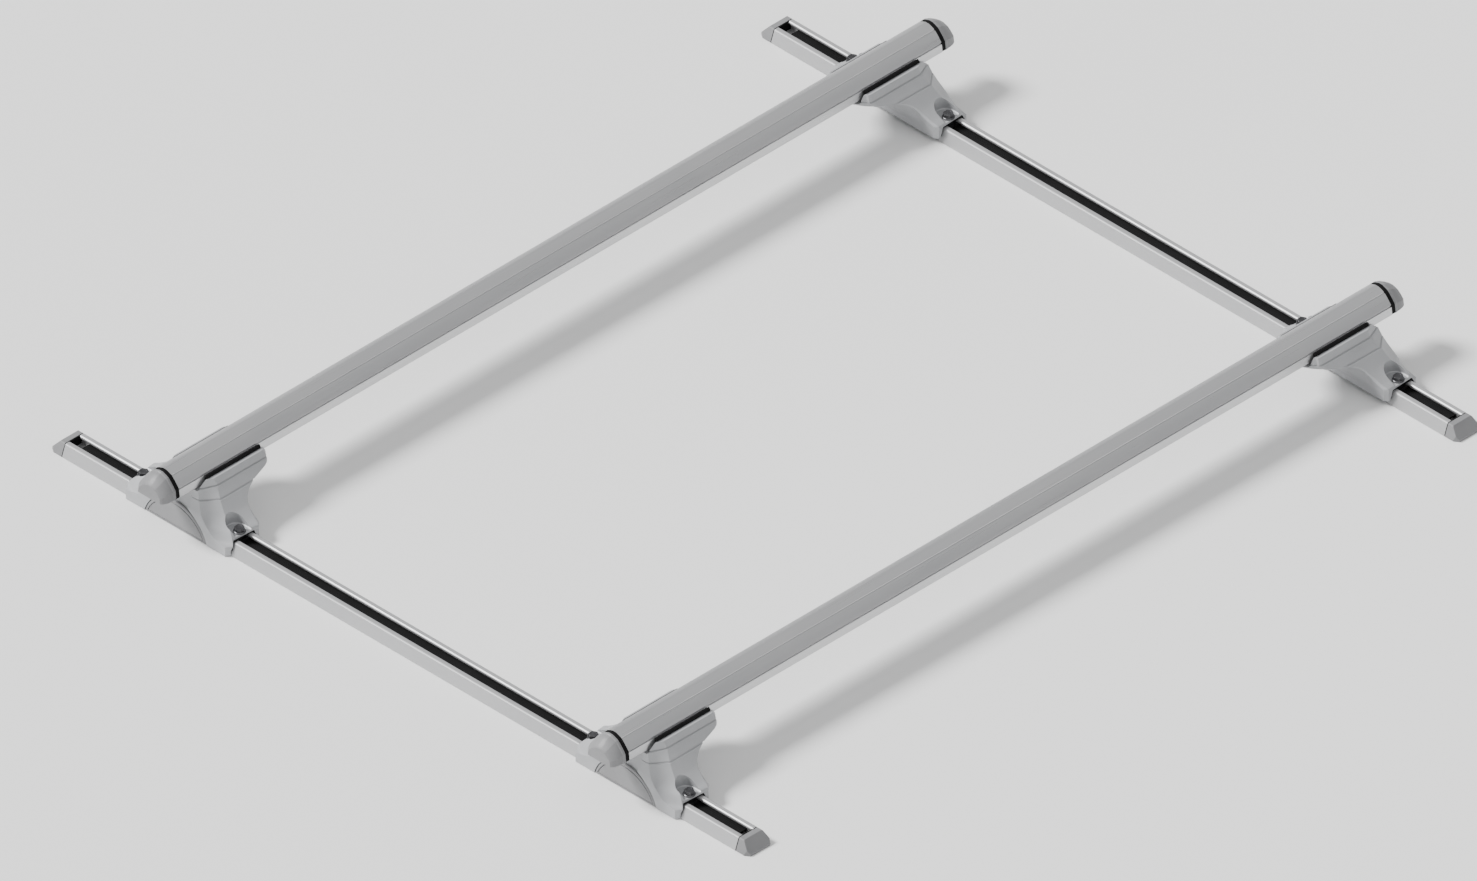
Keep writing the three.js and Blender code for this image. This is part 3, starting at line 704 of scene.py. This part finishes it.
def make_leg_shape():
    """Tower leg, with room cut out for the track, the bar, the side cover and the bolts."""
    body = loft("leg_shape", [leg_ring(z, depth) for z, depth in leg_levels()])
    reach = FOOT_HALF_LENGTH + PAST
    half = [(TRACK_BASE_HALF + 0.5, -PAST)] + track_jacket(GAP * 2 + PAD_THICKNESS, PAD_START)
    space = along("y", "space_cutter", half + mirror_points(half), -reach, reach)
    inner_side = box("clearance_cutter", 0, TRACK_BASE_HALF * 2, -reach, reach, -PAST, INNER_EDGE)
    seat_wall = [(BAR_BOLT_SEAT_RADIUS, z) for z in (TRACK_HEIGHT + 2, BAR_BOLT_SEAT)]
    seat = lathe("seat_cutter", seat_wall, BAR_BOLT_X)
    pockets = [pocket_cutter(end) for end in ENDS.values()]
    carve(body, space, inner_side, saddle_cutter(), recess_cutter(), seat, *pockets)
    return bevelled(body, 0.7, 2, 24)


def make_cover_shape():
    """Arched cover plate: a domed face with a rounded border, in the side of the leg."""
    # How far in from the outer face each ring lies, and how far inside the plate's edge.
    steps = [
        (COVER_THICKNESS, 0.2), (1.6, 0), (0.7, 0.3), (0.2, 1.1), (0, 2.2),
        (0, 3.9), (1.3, 4.3), (1.3, 5.4), (0.1, 5.9), (0.1, 7.2),
    ]
    rings = []
    for depth, inset in steps:
        half = COVER_HALF - inset
        bottom = COVER_BOTTOM + inset * 0.6
        arch = arc((half, bottom), (-half, bottom), -(COVER_TOP - inset - bottom), 48)
        rings.append([(FOOT_OUTER + depth, a, b) for a, b in arch])
    return loft("cover_shape", rings)


def make_base_pad_shape():
    """Rubber pad bent over the track, between it and the leg."""
    outer, inner = track_jacket(GAP + PAD_THICKNESS, PAD_START), track_jacket(GAP, PAD_START)
    outline = outer + mirror_points(outer) + [(-x, z) for x, z in inner] + list(reversed(inner))
    length = FOOT_HALF_LENGTH - 1
    return along("y", "base_pad_shape", outline, -length, length)


def make_saddle_pad_shape():
    """Rubber liner of the saddle. Its lips stand above the leg, up to the bar's shoulders."""
    half, bottom = SADDLE_HALF - GAP, SADDLE_FLOOR + GAP
    wall, floor = BAR_BOTTOM_HALF + GAP, BAR_BOTTOM - GAP
    right = [
        (half - 2, bottom), (half, bottom + 2), (half, LEG_TOP + 0.2), (half + 0.9, LEG_TOP + 0.9),
        (half + 0.9, LEG_TOP + 1.9), (half - 0.4, LINER_TOP - 0.8), (half - 1.2, LINER_TOP),
        (wall - 0.3, LINER_TOP), (wall - 0.3, LINER_TOP - 1.5), (wall, LINER_TOP - 3), (wall, floor),
    ]
    trough = along("x", "saddle_pad_shape", right + mirror_points(right), *LINER_ENDS)
    return bevelled(trough, 0.4, 2, 40)


def make_clamp_bolt_shape():
    """Flanged hex bolt standing on the pocket's floor: washer face, chamfered hexagon, shank."""
    seat, tip, shank = POCKET_FLOOR + GAP, STRIP_TOP + 0.4, 4
    profile = [
        (AXIS, tip), (shank - 0.6, tip), (shank, tip + 0.8), (shank, seat), (8.1, seat),
        (8.2, seat + 0.8), (7.6, seat + 1.6), (6.8, seat + 2), (AXIS, seat + 2),
    ]
    flange = lathe("clamp_flange", profile)
    corners = [math.pi * i / 3 for i in range(6)]
    rings = []
    for rise, radius in ((1.3, 7), (5.9, 7), (6.5, 6.3), (6.5, 4.4), (5.8, 4)):
        rings.append([(radius * math.cos(turn), radius * math.sin(turn), seat + rise) for turn in corners])
    head = loft("clamp_head", rings)
    bevelled(head, 0.3, 2, 30)
    union = flange.modifiers.new("join", "BOOLEAN")
    union.operation = "UNION"
    union.solver = "EXACT"
    union.object = head
    settle(flange)
    bpy.data.objects.remove(head)
    return flange


def make_towers():
    """Four towers, placed or mirrored at the crossings of the tracks and the bars."""
    shapes = {
        "leg": (make_leg_shape(), "leg_coating", "leg_casting", 11),
        "side_cover": (make_cover_shape(), "cover_plastic", "arch_cover", 35),
        "base_pad": (make_base_pad_shape(), "black_rubber", "track_pad", 30),
        "saddle_pad": (make_saddle_pad_shape(), "black_rubber", "saddle_liner", 35),
    }
    bolt = make_clamp_bolt_shape()
    for end_name in ENDS:
        for side_name, side in SIDES.items():
            at = (TRACK_X[side_name], BAR_Y[end_name])
            stem, body = f"{end_name}_{side_name}", f"{end_name}_towers"
            for node, (shape, material, name, sharp) in shapes.items():
                piece = copy_to(shape, f"{stem}_{name}", *at, mirror=side > 0)
                dress(piece, material, body, f"{stem}_{node}", sharp=sharp)
            for bolt_end, way in ENDS.items():
                piece = copy_to(bolt, f"{stem}_clamp_screw_{bolt_end}", at[0], at[1] + way * CLAMP_BOLT_Y)
                dress(piece, "dark_steel", body, f"{stem}_clamp_bolt_{bolt_end}")
            for node in ("clamp_nut_front", "clamp_nut_rear", "bar_bolt", "bar_nut"):
                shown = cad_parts[f"{stem}_{node}"]
                shown.data.materials.clear()
                shown.data.materials.append(MATERIAL["dark_steel"])
    for shape in [entry[0] for entry in shapes.values()] + [bolt]:
        bpy.data.objects.remove(shape)


# ---------------------------------------------------------------- floor, light and camera


def make_stage():
    """A wide light floor, level with the undersides of the tracks."""
    half = 160  # metres, so that its edge lies outside every view
    corners = [(-half, -half, 0), (half, -half, 0), (half, half, 0), (-half, half, 0)]
    mesh = bpy.data.meshes.new("floor")
    mesh.from_pydata(corners, [], [(0, 1, 2, 3)])
    floor = bpy.data.objects.new("floor", mesh)
    bpy.context.scene.collection.objects.link(floor)
    material, shader = new_material("floor", (0.86, 0.86, 0.85), metallic=0, roughness=0.8)
    cloud = add_noise(material, scale=0.6, detail=2)
    color = ramp_between(material, cloud, (0.85, 0.85, 0.845), (0.87, 0.87, 0.865))
    material.node_tree.links.new(color, shader.inputs["Base Color"])
    mesh.materials.append(material)


def make_sky():
    """A pale room: bright at the horizon, dimmer overhead."""
    world = bpy.data.worlds.new("studio")
    bpy.context.scene.world = world
    world.use_nodes = True
    nodes, links = world.node_tree.nodes, world.node_tree.links
    background = nodes["Background"]
    background.inputs["Strength"].default_value = 0.75
    place = nodes.new("ShaderNodeTexCoord")
    split = nodes.new("ShaderNodeSeparateXYZ")
    ramp = nodes.new("ShaderNodeValToRGB")
    below_floor = (2.15, 2.15, 2.13, 1)  # as bright as the lit floor, for views near the floor
    ramp.color_ramp.elements[0].color = below_floor
    ramp.color_ramp.elements[1].color = (1, 1, 1, 1)
    ramp.color_ramp.elements.new(0.002).color = (0.9, 0.9, 0.9, 1)
    ramp.color_ramp.elements.new(0.2).color = (0.6, 0.61, 0.62, 1)
    links.new(place.outputs["Generated"], split.inputs["Vector"])
    links.new(split.outputs["Z"], ramp.inputs["Fac"])
    links.new(ramp.outputs["Color"], background.inputs["Color"])


def make_lamp(name, energy, angle, towards):
    """A sun that stands towards a direction; angle is its width in degrees."""
    lamp = bpy.data.lights.new(name, "SUN")
    lamp.energy = energy
    lamp.angle = math.radians(angle)
    sun = bpy.data.objects.new(name, lamp)
    sun.rotation_euler = Vector(towards).to_track_quat("Z", "Y").to_euler()
    bpy.context.scene.collection.objects.link(sun)


def make_camera():
    """Parallel-projection camera at the drawing's isometric angle."""
    azimuth, elevation = math.radians(-45), math.radians(35.76)
    width = 1.809  # what the frame shows from side to side, in metres
    right_of_aim, above_aim = 0.0334, 0.0411  # the rack's middle stands off the frame's middle
    distance, clip_end = 25, 300
    data = bpy.data.cameras.new("camera")
    data.type = "ORTHO"
    data.ortho_scale = width
    data.clip_end = clip_end
    camera = bpy.data.objects.new("camera", data)
    bpy.context.scene.collection.objects.link(camera)
    level = math.cos(elevation)
    back = Vector((math.sin(azimuth) * level, -math.cos(azimuth) * level, math.sin(elevation)))
    right = Vector((math.cos(azimuth), math.sin(azimuth), 0))
    up = back.cross(right)
    middle_point = (CAD_BOX[0] + CAD_BOX[1]) / 2
    camera.location = middle_point - right * right_of_aim - up * above_aim + back * distance
    camera.rotation_euler = back.to_track_quat("Z", "Y").to_euler()
    bpy.context.scene.camera = camera


make_camera()
make_stage()
make_sky()
make_lamp("key", energy=5.6, angle=16, towards=(-0.5, 0.6, 0.75))
make_lamp("fill", energy=0.5, angle=60, towards=(-0.2, -0.9, 0.9))
for side_name in SIDES:
    make_track(side_name)
    make_strip(side_name)
    for end_name, end in ENDS.items():
        make_track_cap(side_name, end_name, end)
    for place in ("front", "middle", "rear"):
        make_track_screw(side_name, place)
for end_name in ENDS:
    make_bar(end_name)
    for side_name, side in SIDES.items():
        make_bar_cap(end_name, side_name, side)
make_towers()
